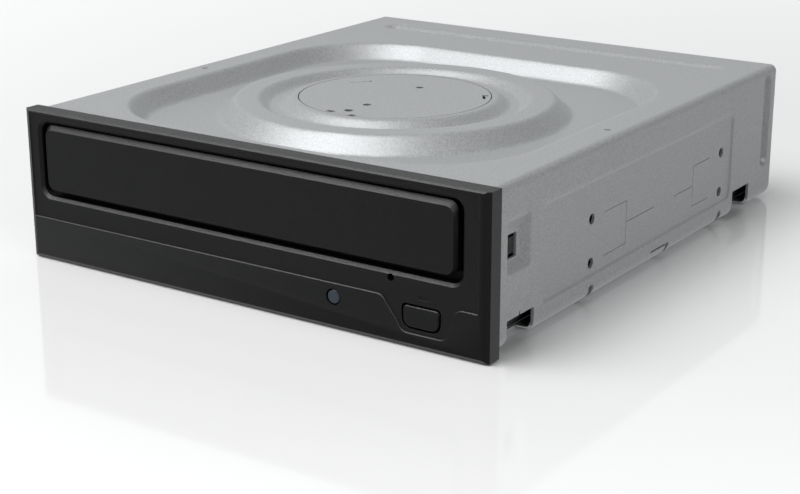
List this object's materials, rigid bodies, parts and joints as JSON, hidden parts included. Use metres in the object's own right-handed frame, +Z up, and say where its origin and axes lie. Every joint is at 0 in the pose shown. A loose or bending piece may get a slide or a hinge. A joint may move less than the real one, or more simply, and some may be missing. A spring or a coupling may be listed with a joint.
{
  "type": "optical disc drive",
  "caption": "Half-height internal optical disc drive: steel case with a pressed clamp dome, black bezel, motorised tray, lifting traverse with spindle and laser pickup.",
  "frame": {"origin": "centre of the bounding box at the surface the drive stands on", "axes": "+X to the drive's right seen from the front, +Y towards the rear connectors, +Z up"},
  "size_m": [0.1482, 0.1704, 0.042],
  "materials": {
    "zinc_steel": "matte zinc-coated sheet",
    "bright_steel": "bright",
    "black_abs": "fine spark-eroded grain",
    "dark_abs": "moulded",
    "white_pom": "natural acetal",
    "rubber": "matte",
    "board_green": "solder mask",
    "chip_black": "moulded epoxy",
    "lens_blue": "clear tinted",
    "die_cast": "die-cast zinc alloy"
  },
  "bodies": {
    "housing": {"top_cover": "zinc_steel", "bottom_cover": "zinc_steel", "clamp_plate": "zinc_steel", "clamp_holder": "dark_abs", "front_bezel": "black_abs", "led_lens": "lens_blue", "main_frame": "dark_abs", "loading_motor": "bright_steel", "drive_belt": "rubber", "main_board": "board_green", "controller_chip": "chip_black", "driver_chip": "chip_black", "memory_chip": "chip_black", "ribbon_socket": "white_pom", "sata_connector": "dark_abs", "front_board": "board_green", "eject_switch": "chip_black", "status_led": "lens_blue", "cover_screw_1": "bright_steel", "cover_screw_2": "bright_steel", "cover_screw_3": "bright_steel", "cover_screw_4": "bright_steel", "pivot_bush_left": "rubber", "pivot_bush_right": "rubber"},
    "tray": {"tray": "black_abs", "tray_door": "black_abs"},
    "eject_button": {"eject_button": "black_abs"},
    "motor_pulley": {"motor_pulley": "white_pom"},
    "pulley_gear": {"pulley_gear": "white_pom"},
    "drive_gear": {"drive_gear": "white_pom"},
    "cam_slider": {"cam_slider": "white_pom"},
    "traverse": {"traverse_frame": "dark_abs", "spindle_base": "bright_steel", "main_rod": "bright_steel", "sub_rod": "bright_steel", "feed_motor": "bright_steel"},
    "turntable": {"turntable": "dark_abs", "turntable_pad": "rubber", "disc_hub": "white_pom"},
    "pickup": {"pickup_body": "die_cast", "actuator_yoke": "bright_steel", "laser_diode": "bright_steel"},
    "lens": {"lens_holder": "dark_abs", "objective_lens": "lens_blue"},
    "lead_screw": {"lead_screw": "bright_steel"},
    "clamper": {"clamper": "white_pom", "clamper_disc": "bright_steel"}
  },
  "joints": [
    {"name": "tray_slide", "type": "slide", "parent": "housing", "child": "tray", "axis": [0, -1, 0], "range_m": [0, 0.132]},
    {"name": "drive_spin", "type": "hinge", "parent": "housing", "child": "drive_gear", "pos_m": [-0.04325, -0.0598, 0.022], "axis": [0, 0, 1], "range_deg": [0, 757]},
    {"name": "pulley_spin", "type": "hinge", "parent": "housing", "child": "pulley_gear", "pos_m": [-0.02405, -0.0598, 0.018], "axis": [0, 0, 1], "range_deg": [-2270, 0]},
    {"name": "motor_spin", "type": "hinge", "parent": "housing", "child": "motor_pulley", "pos_m": [0.008, -0.0598, 0.017], "axis": [0, 0, 1], "range_deg": [-8321, 0]},
    {"name": "traverse_tilt", "type": "hinge", "parent": "housing", "child": "traverse", "pos_m": [0, 0.0722, 0.017], "axis": [-1, 0, 0], "range_deg": [0, 4.7]},
    {"name": "cam_slide", "type": "slide", "parent": "housing", "child": "cam_slider", "axis": [1, 0, 0], "range_m": [0, 0.01801]},
    {"name": "spindle_spin", "type": "hinge", "parent": "traverse", "child": "turntable", "pos_m": [0, -0.01557, 0.02283], "axis": [0, -0.0819, 0.9966], "continuous": true},
    {"name": "pickup_slide", "type": "slide", "parent": "traverse", "child": "pickup", "axis": [0, 0.9966, 0.0819], "range_m": [0, 0.034]},
    {"name": "screw_spin", "type": "hinge", "parent": "traverse", "child": "lead_screw", "pos_m": [0.038, 0.02024, 0.01433], "axis": [0, 0.9966, 0.0819], "range_deg": [0, 4081]},
    {"name": "lens_focus", "type": "slide", "parent": "pickup", "child": "lens", "axis": [0, -0.0819, 0.9966], "range_m": [-0.0004, 0.0004], "stiffness_N_per_m": 150},
    {"name": "clamper_spin", "type": "hinge", "parent": "housing", "child": "clamper", "pos_m": [0, -0.0148, 0.034], "axis": [0, 0, 1], "continuous": true},
    {"name": "eject_press", "type": "slide", "parent": "housing", "child": "eject_button", "axis": [0, 1, 0], "range_m": [0, 0.0008], "stiffness_N_per_m": 500, "springref_m": -0.001}
  ],
  "couplings": [
    {"joint": "drive_spin", "follows": "tray_slide", "rad_per_m": 100},
    {"joint": "pulley_spin", "follows": "tray_slide", "rad_per_m": -300},
    {"joint": "motor_spin", "follows": "tray_slide", "rad_per_m": -1100},
    {"joint": "cam_slide", "follows": "traverse_tilt", "m_per_rad": 0.21943},
    {"joint": "screw_spin", "follows": "pickup_slide", "rad_per_m": 2094.4}
  ]
}
